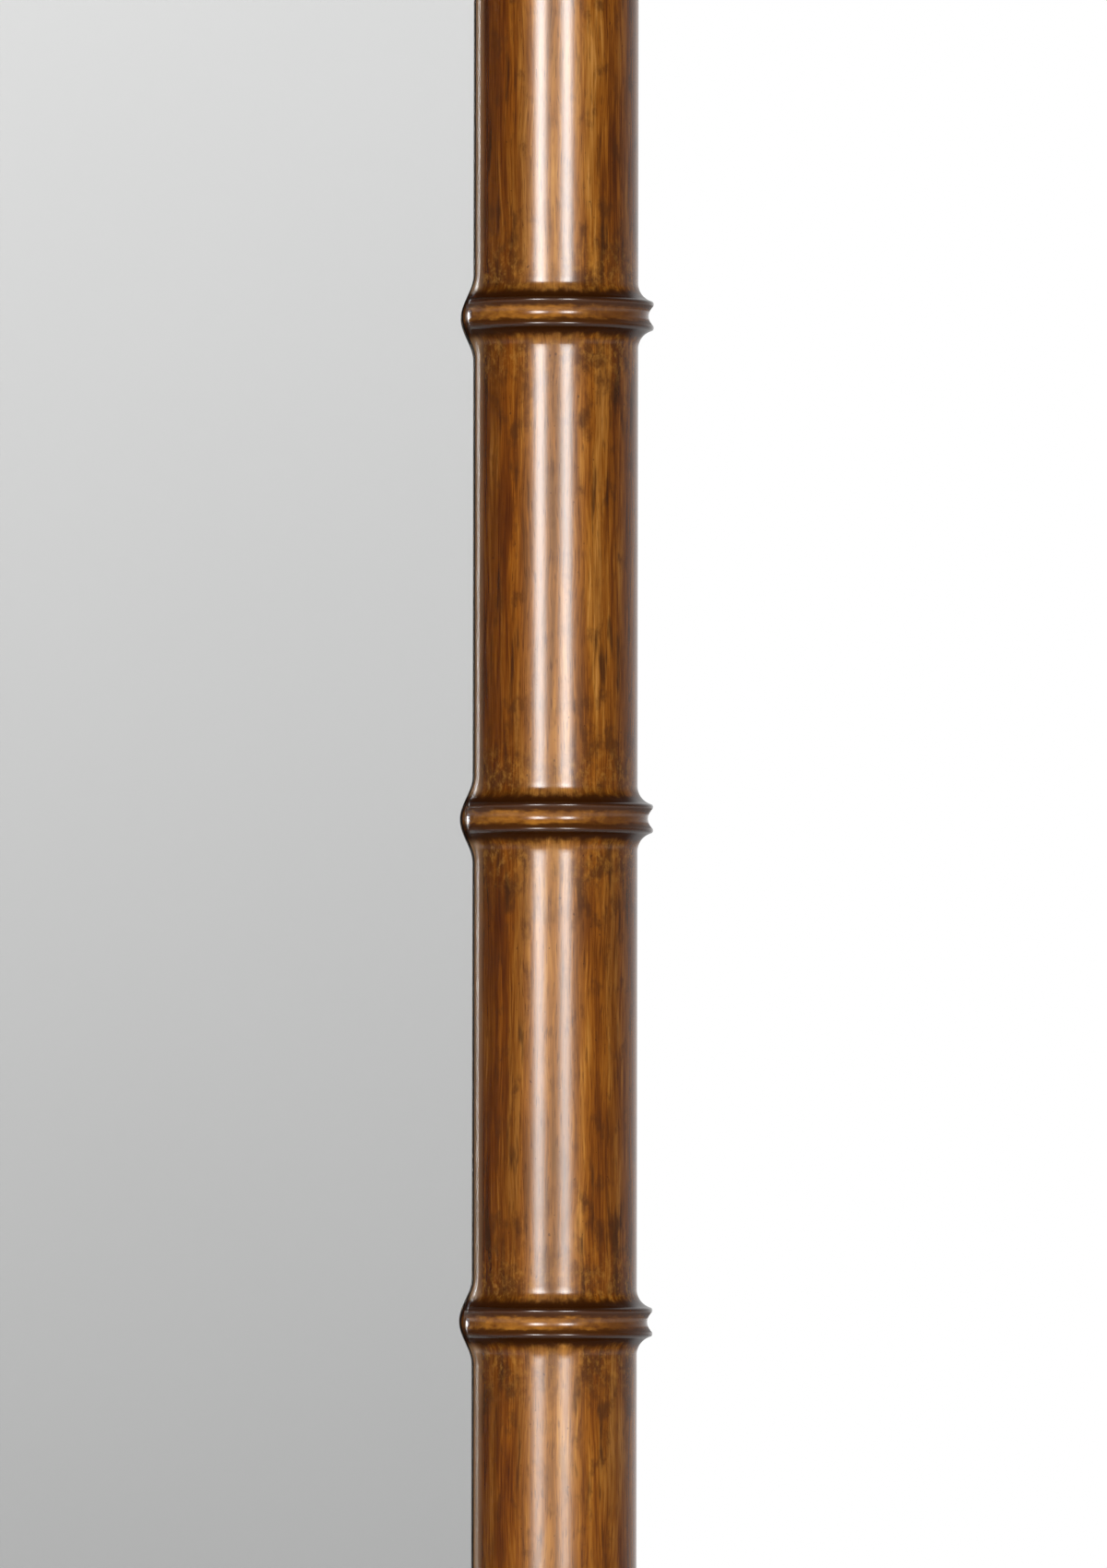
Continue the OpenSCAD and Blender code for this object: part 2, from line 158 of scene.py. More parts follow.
class Graph:
    """Short calls that add nodes to a material or to the world."""

    def __init__(self, tree):
        self.tree = tree
        tree.nodes.clear()

    def node(self, kind, inputs=None, **settings):
        """Any shader node, each input a number, a colour or another node's socket."""
        made = self.tree.nodes.new("ShaderNode" + kind)
        for name, value in settings.items():
            setattr(made, name, value)
        for key, value in (inputs or {}).items():
            if isinstance(value, bpy.types.NodeSocket):
                self.tree.links.new(value, made.inputs[key])
            else:
                made.inputs[key].default_value = value
        return made

    def math(self, operation, *values):
        return self.node("Math", dict(enumerate(values)), operation=operation).outputs[0]

    def attribute(self, name, output="Vector"):
        return self.node("Attribute", attribute_name=name).outputs[output]

    def split(self, vector):
        return self.node("SeparateXYZ", {0: vector}).outputs

    def join(self, x, y, z):
        return self.node("CombineXYZ", {0: x, 1: y, 2: z}).outputs[0]

    def scale(self, vector, factor):
        return self.node("VectorMath", {0: vector, "Scale": factor}, operation="SCALE").outputs[0]

    def noise(self, vector, detail=2.0, roughness=0.5, distortion=0.0):
        """Smooth noise from 0 to 1 whose blobs are about one unit of the vector across."""
        inputs = {
            "Vector": vector,
            "Scale": 1.0,
            "Detail": detail,
            "Roughness": roughness,
            "Distortion": distortion,
        }
        return self.node("TexNoise", inputs, noise_dimensions="3D").outputs["Fac"]

    def patches(self, across, along, width, length, layer, **kind):
        """Noise whose blobs are this wide and this long. Each layer is a pattern of its own."""
        x = self.math("DIVIDE", across, width)
        y = self.math("DIVIDE", along, length)
        return self.noise(self.join(x, y, layer), **kind)

    def fade(self, value, start, end, low=0.0, high=1.0):
        """low before start, high after end, and smooth between them."""
        inputs = {"Value": value, "From Min": start, "From Max": end, "To Min": low, "To Max": high}
        return self.node("MapRange", inputs, interpolation_type="SMOOTHSTEP").outputs["Result"]

    def line(self, value, start, end, low=0.0, high=1.0):
        """low before start, high after end, and straight between them."""
        inputs = {"Value": value, "From Min": start, "From Max": end, "To Min": low, "To Max": high}
        return self.node("MapRange", inputs).outputs["Result"]

    def ramp(self, value, stops):
        """Colours along a value, from stops of a place and a colour each."""
        made = self.node("ValToRGB", {0: value})
        band = made.color_ramp
        while len(band.elements) < len(stops):
            band.elements.new(0.5)
        for element, (position, colour) in zip(band.elements, stops):
            element.position = position
            element.color = (*colour, 1)
        return made.outputs["Color"]

    def mix(self, factor, a, b, blend="MIX"):
        """Two colours mixed, each a socket or three numbers."""
        colours = {MIX_A: a, MIX_B: b}
        for key, value in colours.items():
            if isinstance(value, tuple):
                colours[key] = (*value, 1)
        inputs = {0: factor, **colours}
        return self.node("Mix", inputs, data_type="RGBA", blend_type=blend).outputs[MIX_RESULT]

    def bump(self, height, distance, normal=None):
        """The normal of a surface with this height, on top of another normal."""
        inputs = {"Height": height, "Distance": distance, "Strength": 1.0}
        if normal:
            inputs["Normal"] = normal
        return self.node("Bump", inputs).outputs["Normal"]

    def surface(self, shader):
        output = self.tree.nodes.new("ShaderNodeOutputMaterial")
        self.tree.links.new(shader.outputs[0], output.inputs["Surface"])

    def principled(self, inputs):
        self.surface(self.node("BsdfPrincipled", inputs))


def new_material(name):
    material = bpy.data.materials.new(name)
    material.use_nodes = True
    return material, Graph(material.node_tree)


def object_place(g, scale=1 / MM):
    """Coordinates of the object in millimetres, or in another unit."""
    return g.scale(g.node("TexCoord").outputs["Object"], scale)


# Materials


class PoleFinish:
    """Streaked glaze under gloss lacquer, painted by the place on a pole.

    Places are in millimetres: round the pole from its front, along it, and from the nearest node. side is
    the place round the pole in radians instead, below zero towards the mirror.
    """

    # The streaks from dark to light, with their places on the ramp
    STREAKS = [
        (0.21, (0.062, 0.014, 0.0008)),
        (0.44, (0.125, 0.033, 0.0016)),
        (0.63, (0.218, 0.068, 0.0045)),
        (0.82, (0.325, 0.128, 0.0160)),
        (1.00, (0.450, 0.200, 0.0380)),
    ]

    # Colours that cover the streaks: painted sheen, rim light and edge highlight among the real marks and
    # glaze
    PAINTED_FRONT_SHEEN = (0.50, 0.28, 0.10)
    PAINTED_OUTER_RIM_LIGHT = (0.45, 0.16, 0.02)
    PORE = (0.045, 0.012, 0.0015)
    SMUDGE = (0.055, 0.016, 0.0022)
    MARK = (0.030, 0.009, 0.0016)
    SPOT = (0.03, 0.010, 0.002)
    FLECK = (0.38, 0.17, 0.026)
    BESIDE_RING = (0.070, 0.021, 0.003)
    GROOVE_DARK = (0.13, 0.040, 0.0035)
    GROOVE_LIGHT = (0.33, 0.130, 0.016)
    GROOVE_PAINTED_SHADE = (0.075, 0.023, 0.005)
    LIP = (0.042, 0.012, 0.0016)
    COVE = (0.026, 0.007, 0.0012)
    PAINTED_EDGE_HIGHLIGHT = (0.46, 0.285, 0.15)
    SIGHT_LIP = (0.006, 0.004, 0.003)

    # Painted shade on the pole's two sides, and a warmer tint towards the mirror, that the streaks are
    # multiplied by
    PAINTED_INNER_SHADE = (0.48, 0.44, 0.46)
    PAINTED_OUTER_SHADE = (0.60, 0.57, 0.68)
    INNER_TINT = (0.97, 0.88, 0.62)

    def __init__(self, g):
        self.g = g
        self.around, self.along, self.from_node = g.split(g.attribute("pole_place"))
        self.side = g.math("DIVIDE", self.around, POLE_R / MM)

        # The streaks wander a little as they run along the pole
        drift = self.blobs(9.0, 38.0, 3.0)
        self.across = g.math("ADD", self.around, g.line(drift, 0.2, 0.8, -0.9, 0.9))
        self.broad = g.line(self.streaks(6.0, 80.0, 1.0), 0.3, 0.7)
        self.fine = g.line(self.streaks(0.42, 13.0, 3.0, detail=3.0), 0.25, 0.75)

        # The first rises to 1 at a node. The front, which carries the painted sheen, lies a little towards
        # the mirror.
        self.near_node = g.fade(self.from_node, 46.0, 6.0)
        self.from_front = g.math("ABSOLUTE", g.math("ADD", self.side, 0.08))
        self.off_front = g.fade(self.from_front, 0.15, 0.45, 0.4, 1.0)

    def blobs(self, width, length, layer, **kind):
        """Noise that stays in place round the pole."""
        return self.g.patches(self.around, self.along, width, length, layer, **kind)

    def streaks(self, width, length, layer, **kind):
        """Noise that wanders with the streaks."""
        return self.g.patches(self.across, self.along, width, length, layer, **kind)

    def streaked(self):
        """Broad, medium and fine streaks together."""
        g = self.g
        medium = g.line(self.streaks(1.7, 30.0, 2.0), 0.28, 0.72)
        tone = g.math("MULTIPLY", self.broad, 0.44)
        tone = g.math("MULTIPLY_ADD", medium, 0.37, tone)
        tone = g.math("MULTIPLY_ADD", self.fine, 0.37, tone)
        return g.ramp(tone, self.STREAKS)

    def painted_sheen_and_shade(self, wood):
        """Painted sheen pales the front of the pole and painted shade darkens its sides, most of all
        towards the mirror. The wood is warmer towards the mirror, and painted light lightens the outer
        edge.
        """
        g, side = self.g, self.side
        # Painted sheen: the front of the pole is mixed towards a pale gold
        wood = g.mix(g.fade(self.from_front, 0.50, 0.15, 0.0, 0.2), wood, self.PAINTED_FRONT_SHEEN)
        # Painted shade: the wood darkens towards both sides of the pole, most towards the mirror, with
        # blotchy edges
        blotch = g.math("MULTIPLY_ADD", self.broad, -0.7, 0.35)
        inner = g.fade(g.math("ADD", side, blotch), -0.1, -1.0)
        outer = g.fade(g.math("SUBTRACT", side, blotch), 0.2, 1.2)
        wood = g.mix(inner, wood, self.PAINTED_INNER_SHADE, blend="MULTIPLY")
        wood = g.mix(outer, wood, self.PAINTED_OUTER_SHADE, blend="MULTIPLY")
        wood = g.mix(g.fade(side, -0.15, -0.65), wood, self.INNER_TINT, blend="MULTIPLY")
        # Painted light: the outer edge of the pole is lighter
        return g.mix(g.fade(side, 1.0, 1.35, 0.0, 0.22), wood, self.PAINTED_OUTER_RIM_LIGHT)

    def marked(self, wood):
        """Pores, smudges close to the nodes, tapered marks that reach farther, and small spots."""
        g = self.g
        pores = g.fade(self.streaks(0.3, 5.0, 4.0, detail=1.0), 0.58, 0.70)
        wood = g.mix(g.math("MULTIPLY", pores, 0.5), wood, self.PORE)

        smudges = self.blobs(4.5, 8.0, 12.0, detail=4.0, roughness=0.6)
        smudges = g.math("MULTIPLY_ADD", g.fade(self.from_node, 34.0, 8.0), 0.12, smudges)
        smudges = g.math("MULTIPLY", g.fade(smudges, 0.53, 0.73, 0.0, 0.78), self.off_front)
        wood = g.mix(smudges, wood, self.SMUDGE)

        marks = self.streaks(2.4, 19.0, 5.0, detail=3.0)
        marks = g.fade(g.math("MULTIPLY_ADD", self.near_node, 0.045, marks), 0.58, 0.73)
        marks = g.math("MULTIPLY", marks, g.math("MULTIPLY", self.off_front, 0.75))
        wood = g.mix(marks, wood, self.MARK)

        spots = self.blobs(1.1, 1.6, 6.0, detail=1.0)
        spots = g.fade(g.math("MULTIPLY_ADD", self.near_node, 0.03, spots), 0.74, 0.80)
        return g.mix(g.math("MULTIPLY", spots, 0.6), wood, self.SPOT)

    def glazed(self, wood):
        """Glaze lies thick in the coves and on the lips, and thin and blotchy beside them."""
        g, from_node = self.g, self.from_node
        feather = g.line(self.blobs(2.6, 3.6, 7.0, detail=4.0, roughness=0.65), 0.3, 0.7)
        cloud = g.line(self.blobs(3.0, 1.3, 8.0, detail=4.0, roughness=0.6), 0.3, 0.7)

        flecks = g.fade(self.blobs(1.6, 2.6, 13.0, detail=5.0, roughness=0.7), 0.45, 0.70)
        flecks = g.math("MULTIPLY", flecks, g.fade(from_node, 21.0, 7.0, 0.0, 0.45))
        wood = g.mix(flecks, wood, self.FLECK)
        beside = g.math("MULTIPLY_ADD", feather, -5.0, from_node)
        beside = g.math("MULTIPLY_ADD", cloud, -2.0, beside)
        wood = g.mix(g.fade(beside, 5.2, 0.0, 0.0, 0.5), wood, self.BESIDE_RING)

        # The groove between the lips is golden, most of all on the mirror's side of the front; round both
        # sides of the pole it darkens in blotches, partly painted shade and partly mottle
        golden = g.mix(cloud, self.GROOVE_DARK, self.GROOVE_LIGHT)
        aside = g.math("ABSOLUTE", g.math("ADD", self.side, 0.4))
        shaded = g.math("MULTIPLY_ADD", feather, 0.7, g.math("MULTIPLY", aside, 0.8))
        golden = g.mix(g.fade(shaded, 0.5, 1.2, 0.0, 0.8), golden, self.GROOVE_PAINTED_SHADE)
        wood = g.mix(g.fade(from_node, 2.2, 1.6, 0.0, 0.9), wood, golden)

        lips = g.fade(g.math("MULTIPLY_ADD", cloud, -0.7, from_node), 0.65, 1.5, 0.0, 0.92)
        lips = g.math("MULTIPLY", lips, g.fade(from_node, 5.0, 3.6))
        wood = g.mix(lips, wood, self.LIP)
        coves = g.fade(g.math("MULTIPLY_ADD", feather, -1.3, from_node), 5.4, 3.7, 0.0, 0.95)
        coves = g.math("MULTIPLY", coves, g.fade(from_node, 2.5, 3.1))
        return g.mix(coves, wood, self.COVE)

    def edged(self, wood):
        """A painted highlight makes the planed side and its arris pale, but not at the rings. The lip is
        black.
        """
        g = self.g
        # Painted highlight along the sight edge
        edge_highlight = g.line(self.side, -1.07, -1.24, 0.0, 0.42)
        edge_highlight = g.math("MULTIPLY", edge_highlight, g.fade(self.from_node, 4.5, 6.5))
        wood = g.mix(edge_highlight, wood, self.PAINTED_EDGE_HIGHLIGHT)
        return g.mix(g.attribute("sight_lip", "Fac"), wood, self.SIGHT_LIP)

    def normal(self):
        """The lacquer lies a little uneven on the turned front, more so towards the nodes."""
        g = self.g
        turned = g.fade(self.side, -1.5, -1.35)
        ripple = g.math("MULTIPLY", self.blobs(0.7, 1.2, 9.0), turned)
        wave = g.math("MULTIPLY", self.blobs(7.0, 12.0, 10.0, detail=1.0), turned)
        swell = g.math("MULTIPLY", wave, g.fade(self.from_node, 40.0, 8.0, 0.25, 1.0))
        normal = g.bump(ripple, 0.006 * MM)
        normal = g.bump(swell, 0.05 * MM, normal=normal)
        return g.bump(g.math("MULTIPLY", self.fine, turned), 0.002 * MM, normal=normal)

    def roughness(self):
        return self.g.line(self.blobs(6.0, 18.0, 11.0, detail=3.0), 0.3, 0.7, 0.42, 0.50)

    def gloss(self):
        """The glaze of the coves and the lips' flanks soaks up lacquer, and the planed side took less."""
        g, from_node = self.g, self.from_node
        beside_ring = g.fade(from_node, 7.4, 5.6)
        coves = g.math("MULTIPLY", g.fade(from_node, 3.1, 3.7, 0.0, 0.92), beside_ring)
        coves = g.math("MULTIPLY", coves, g.fade(self.side, 1.15, 0.85, 0.4, 1.0))
        flanks = g.math("MULTIPLY", g.fade(from_node, 0.7, 1.2, 0.0, 0.6), g.fade(from_node, 2.5, 2.1))
        planed = g.math("MULTIPLY_ADD", beside_ring, 0.3, 0.6)
        planed = g.math("MULTIPLY", g.fade(self.side, -1.35, -1.5), planed)
        matt = g.math("MAXIMUM", g.math("MAXIMUM", coves, flanks), planed)
        return g.math("SUBTRACT", 1.0, matt)


def lacquered_wood():
    """Golden brown wood with streaks and dark glaze at the nodes, under gloss lacquer, with painted sheen,
    shade, rim light and edge highlight.
    """
    material, g = new_material("lacquered_wood")
    finish = PoleFinish(g)
    wood = finish.painted_sheen_and_shade(finish.streaked())
    wood = finish.glazed(finish.marked(wood))
    normal = finish.normal()
    g.principled(
        {
            "Base Color": finish.edged(wood),
            "Roughness": finish.roughness(),
            "Specular IOR Level": 0.0,
            "Coat Weight": finish.gloss(),
            "Coat Roughness": 0.2,
            "Coat IOR": 1.5,
            "Normal": normal,
            "Coat Normal": normal,
        }
    )
    return material


def stained_back():
    """The poles' flat back and rebate: sawn wood with one thin coat of stain."""
    material, g = new_material("stained_back")
    across, along = g.split(g.attribute("back_place"))[:2]
    broad = g.line(g.patches(across, along, 6.0, 90.0, 1.0), 0.3, 0.7)
    fine = g.line(g.patches(across, along, 0.55, 13.0, 2.0, detail=3.0), 0.28, 0.72)
    tone = g.math("MULTIPLY_ADD", broad, 0.5, g.math("MULTIPLY", fine, 0.5))
    wood = g.ramp(
        tone,
        [
            (0.15, (0.085, 0.040, 0.016)),
            (0.5, (0.170, 0.085, 0.034)),
            (0.9, (0.270, 0.150, 0.066)),
        ],
    )
    pores = g.fade(g.patches(across, along, 0.3, 5.0, 4.0, detail=1.0), 0.60, 0.72)
    wood = g.mix(g.math("MULTIPLY", pores, 0.5), wood, (0.05, 0.022, 0.009))

    # The saw's teeth left marks across the grain
    waves = {"Vector": g.join(0.0, along, 0.0), "Scale": 0.16, "Distortion": 2.0}
    saw = g.node("TexWave", waves, bands_direction="Y").outputs["Fac"]
    normal = g.bump(fine, 0.03 * MM, normal=g.bump(saw, 0.02 * MM))
    g.principled({"Base Color": wood, "Roughness": g.line(fine, 0.0, 1.0, 0.62, 0.78), "Normal": normal})
    return material


def clear_glass():
    """Float glass, with the faint green of its iron."""
    material, g = new_material("clear_glass")
    wave = g.noise(object_place(g, 0.02 / MM), detail=1.0)
    g.principled(
        {
            "Base Color": g.mix(wave, (0.980, 0.984, 0.980), (0.984, 0.988, 0.984)),
            "Roughness": 0.0,
            "IOR": 1.52,
            "Transmission Weight": 1.0,
        }
    )
    return material


def silvering():
    """The mirror's silver, seen through the glass."""
    material, g = new_material("silvering")
    cloud = g.noise(object_place(g, 0.01 / MM))
    g.principled(
        {
            "Base Color": g.mix(cloud, (0.925, 0.922, 0.925), (0.935, 0.932, 0.935)),
            "Metallic": 1.0,
            "Roughness": 0.0,
        }
    )
    return material


def zinc(name, colour, stain, roughness):
    """Zinc plate on steel, brushed, with faint cloudy stains."""
    material, g = new_material(name)
    place = object_place(g)
    x, y, z = g.split(place)
    brush = g.noise(g.join(g.math("DIVIDE", x, 0.15), y, g.math("DIVIDE", z, 4.0)))
    cloud = g.line(g.noise(g.scale(place, 0.12), detail=4.0), 0.35, 0.7)
    g.principled(
        {
            "Base Color": g.mix(g.math("MULTIPLY", cloud, 0.6), colour, stain),
            "Metallic": 1.0,
            "Roughness": g.math("MULTIPLY_ADD", cloud, 0.14, roughness),
            "Normal": g.bump(brush, 0.004 * MM),
        }
    )
    return material


def hardboard():
    """Tempered hardboard: a dark, smooth face with pressed fibres."""
    material, g = new_material("hardboard")
    place = object_place(g)
    fibres = g.noise(g.scale(place, 0.9), detail=6.0, roughness=0.7, distortion=1.6)
    cloud = g.noise(g.scale(place, 0.008))
    tone = g.math("MULTIPLY_ADD", cloud, 0.2, g.math("MULTIPLY", fibres, 0.8))
    face = g.ramp(
        tone,
        [(0.3, (0.085, 0.045, 0.024)), (0.5, (0.145, 0.080, 0.042)), (0.7, (0.215, 0.125, 0.070))],
    )
    g.principled(
        {
            "Base Color": face,
            "Roughness": g.line(fibres, 0.3, 0.7, 0.48, 0.62),
            "Normal": g.bump(fibres, 0.02 * MM),
        }
    )
    return material


def cardboard():
    """Kraft liner over flutes that run up the sheet."""
    material, g = new_material("cardboard")
    x, y, z = g.split(object_place(g))
    flutes = g.node("TexWave", {"Vector": g.join(x, 0.0, 0.0), "Scale": 0.05}).outputs["Fac"]
    fibres = g.noise(g.join(x, y, g.math("DIVIDE", z, 3.0)), detail=5.0, roughness=0.7)
    paper = g.ramp(fibres, [(0.3, (0.36, 0.235, 0.130)), (0.7, (0.56, 0.395, 0.240))])
    paper = g.mix(g.math("MULTIPLY", flutes, 0.18), paper, (0.30, 0.19, 0.10))
    g.principled({"Base Color": paper, "Roughness": 0.85, "Normal": g.bump(flutes, 0.05 * MM)})
    return material


# Two threads of the cloth tape are this wide together, in millimetres
WEAVE = 0.5


def black_tape():
    """Black cloth tape."""
    material, g = new_material("black_tape")
    place = g.split(object_place(g))
    warp = g.math("SINE", g.math("MULTIPLY", place["X"], 2 * pi / WEAVE))
    weft = g.math("SINE", g.math("MULTIPLY", place["Z"], 2 * pi / WEAVE))
    weave = g.math("MULTIPLY", warp, weft)
    colour = g.mix(g.line(weave, -1.0, 1.0), (0.012, 0.012, 0.012), (0.026, 0.026, 0.026))
    g.principled({"Base Color": colour, "Roughness": 0.7, "Normal": g.bump(weave, 0.02 * MM)})
    return material


def rubber():
    """Matt black rubber with a faint bloom."""
    material, g = new_material("rubber")
    place = object_place(g)
    grain = g.noise(g.scale(place, 2.5), detail=3.0)
    bloom = g.noise(g.scale(place, 0.25), detail=3.0)
    g.principled(
        {
            "Base Color": g.mix(g.line(bloom, 0.35, 0.7), (0.028, 0.028, 0.030), (0.060, 0.060, 0.063)),
            "Roughness": g.line(bloom, 0.3, 0.7, 0.55, 0.72),
            "Normal": g.bump(grain, 0.02 * MM),
        }
    )
    return material


def biscuit_wood():
    """Pressed beech."""
    material, g = new_material("biscuit_wood")
    x, y, z = g.split(object_place(g))
    grain = g.noise(g.join(x, g.math("DIVIDE", y, 0.4), g.math("DIVIDE", z, 8.0)), detail=4.0)
    wood = g.ramp(grain, [(0.3, (0.48, 0.31, 0.17)), (0.7, (0.62, 0.44, 0.27))])
    g.principled({"Base Color": wood, "Roughness": 0.75, "Normal": g.bump(grain, 0.03 * MM)})
    return material


LACQUER = lacquered_wood()
BACK_WOOD = stained_back()
GLASS = clear_glass()
SILVER = silvering()
ZINC = zinc("zinc_plate", (0.60, 0.61, 0.62), (0.46, 0.47, 0.47), 0.30)
SCREW_ZINC = zinc("zinc_screws", (0.60, 0.585, 0.53), (0.44, 0.41, 0.33), 0.26)
HARDBOARD = hardboard()
CARDBOARD = cardboard()
TAPE = black_tape()
RUBBER = rubber()
BISCUIT = biscuit_wood()


# The frame's poles


def lips_height(u):
    """Height of the ring above the pole, at a distance u from the middle of the node."""
    lip = LIP_H - LIP_R + np.sqrt(np.clip(LIP_R**2 - (u - LIP_OFFSET) ** 2, 0, None))
    body = np.maximum(lip, LIP_H - LIP_R / 2)
    groove = GROOVE_H + GROOVE_R - np.sqrt(np.clip(GROOVE_R**2 - u**2, 0, None))
    cove = COVE_R - np.sqrt(np.clip(COVE_R**2 - np.clip(u - COVE_OFFSET, -COVE_R, 0) ** 2, 0, None))
    outside = np.where(u < COVE_OFFSET, cove, 0)
    return np.minimum(np.minimum(body, groove), outside)


def bulge_height(u):
    """Height of the sight edge's bulge, at a distance u from the middle of the node."""
    return np.where(u < BULGE_HALF, BULGE_H * (1 + np.cos(pi * u / BULGE_HALF)) / 2, 0)


def node_rows():
    """Distances of the mesh's rows from the middle of a node, on one side of it."""
    rows = [0.0]
    for step, end in (FINE_ROWS, COVE_ROWS, BULGE_ROWS, PLAIN_ROWS):
        start = rows[-1]
        count = round((end - start) / step)
        rows += [start + (end - start) * (i + 1) / count for i in range(count)]
    return np.array(rows)


def member_rows(length, count):
    """Places of the rows along a member, each with its distance from the nearest node."""
    half = node_rows()
    u = np.concatenate([-half[:0:-1], half[:-1]])
    z = [length * ((i + 0.5) / count - 0.5) + u for i in range(count)]
    z = np.append(np.concatenate(z), length / 2)
    from_node = np.append(np.tile(np.abs(u), count), NODE_PITCH / 2)
    return z, from_node


def member_section(from_node):
    """One section of a pole: x outwards, y towards the wall, and the angle from the front."""
    r = POLE_R + lips_height(from_node)
    sight = SIGHT_X + bulge_height(from_node)
    planed = sight - LIP_REVEAL
    arris = planed - SIDE_LEAN

    # The turned front, and the arc that eases its arris from one angle to another
    roundness = 1 - np.interp(from_node, ROUND_REACH, (0, 1))
    width = ARRIS_W + roundness * (ROUND_W - ARRIS_W)
    start = asin((arris - width) / r)
    end = start + ARRIS_TURN + roundness * (ROUND_TURN - start - ARRIS_TURN)
    angle = np.linspace(acos(-BACK_DEPTH / r), -start, TURNED_POINTS)
    turned = r * np.stack([np.sin(angle), -np.cos(angle)], 1)
    bend = np.linspace(start, end, ARRIS_POINTS + 1)[1:]
    eased_r = width / (sin(end) - sin(start))
    eased = turned[-1] + eased_r * np.stack([sin(start) - np.sin(bend), cos(start) - np.cos(bend)], 1)

    # The planed side's foot, the sight lip with its edge eased, and the rebate
    lip_front = REBATE_FRONT - SIGHT_LIP_T
    ease = LIP_REVEAL / 3
    inner = np.array(
        [
            [-planed, lip_front],
            [-sight + ease, lip_front],
            [-sight, lip_front + ease],
            [-sight, REBATE_FRONT],
            [-REBATE_X, REBATE_FRONT],
            [-REBATE_X, BACK_DEPTH],
        ]
    )

    # The angle runs on over the arris and down the planed side, so that the finish's pattern does too
    over_arris = np.linspace(-start, -pi / 2, ARRIS_POINTS + 1)[1:]
    onward = -pi / 2 - (inner[:, 1] - eased[-1, 1]) / r
    return np.concatenate([turned, eased, inner]), np.concatenate([angle, over_arris, onward])


# Where the stained back, the dark sight lip and the planed side begin, counted from a section's last point
BACK_POINTS = 3
LIP_POINTS = 5
SIDE_POINTS = 7


def store(mesh, name, kind, key, values):
    """Keeps a number or a vector at each vertex, for a material to read."""
    attribute = mesh.attributes.new(name, kind, "POINT")
    attribute.data.foreach_set(key, values.astype(np.float32).ravel())


def add_member(name, turn, count, index):
    """Builds a member from its sections and places it as a stile or a rail."""
    length = count * NODE_PITCH
    z, from_node = member_rows(length, count)
    outlines, angles = zip(*(member_section(u) for u in from_node))
    outline, angle = np.stack(outlines), np.stack(angles)
    x, y = outline[:, :, 0], outline[:, :, 1]
    rows, around = angle.shape

    # The rows past the last bulge turn into the slope of the mitre
    level = length / 2 - NODE_PITCH / 2 + BULGE_ROWS[1]
    slant = np.clip((np.abs(z) - level) / (length / 2 - level), 0, 1) * np.sign(z)
    along = z[:, None] + slant[:, None] * (x - MITRE_GAP)
    points = np.stack([x, y, along], 2).reshape(-1, 3)

    row, column = np.meshgrid(np.arange(rows - 1), np.arange(around), indexing="ij")
    beside = (column + 1) % around
    here = row * around
    above = here + around
    quads = np.stack([here + column, above + column, above + beside, here + beside], -1).reshape(-1, 4)
    lower_cap = list(range(around))
    upper_cap = [(rows - 1) * around + k for k in reversed(lower_cap)]

    mesh = bpy.data.meshes.new(name + "_pole")
    mesh.from_pydata(points.tolist(), [], quads.tolist() + [lower_cap, upper_cap])
    mesh.materials.append(LACQUER)
    mesh.materials.append(BACK_WOOD)
    stained = np.append(column.ravel() >= around - BACK_POINTS, [True, True])
    mesh.polygons.foreach_set("material_index", stained.astype(np.int32))

    # Places on the finish's pattern, in millimetres, and which points are on the sight lip
    pattern = along + length / 2 + index * PATTERN_STEP
    nearest = np.tile(from_node, (around, 1)).T
    on_pole = np.stack([angle * POLE_R, pattern, nearest], 2) / MM
    on_back = np.stack([x + y, pattern, nearest], 2) / MM
    store(mesh, "pole_place", "FLOAT_VECTOR", "vector", on_pole)
    store(mesh, "back_place", "FLOAT_VECTOR", "vector", on_back)
    on_lip = np.zeros((rows, around))
    on_lip[:, -LIP_POINTS:] = 1
    store(mesh, "sight_lip", "FLOAT", "value", on_lip)

    distance = (AXIS_W if turn in (0, 180) else AXIS_H) / 2
    place = (
        Matrix.Translation((0, POLE_Y, MID_Z))
        @ Matrix.Rotation(radians(turn), 4, "Y")
        @ Matrix.Translation((distance, 0, 0))
    )
    mesh.transform(place)
    mesh.shade_smooth()
    mesh.set_sharp_from_angle(angle=POLE_SHARP)
    for edge in mesh.edges:
        if all(vertex % around == around - SIDE_POINTS for vertex in edge.vertices):
            edge.use_edge_sharp = True
    piece = bpy.data.objects.new(name + "_turned", mesh)
    bpy.context.scene.collection.objects.link(piece)
    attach(piece, "frame")
    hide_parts(name)


for index, (name, (turn, count)) in enumerate(MEMBERS.items()):
    add_member(name, turn, count, index)


# Mirror


def add_piece(name, mesh, material, body, slot, *nodes):
    """Links a mesh as a piece that rides on a body and stands for CAD nodes."""
    mesh.materials.clear()
    mesh.materials.append(material)
    piece = bpy.data.objects.new(name, mesh)
    bpy.context.scene.collection.objects.link(piece)
    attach(piece, body)
    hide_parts(*nodes)
    return piece


def ease_edges(bm, edges, width):
    """Rounds edges over, in two steps."""
    bmesh.ops.bevel(
        bm, geom=edges, offset=width, segments=2, profile=0.5, affect="EDGES", clamp_overlap=True
    )


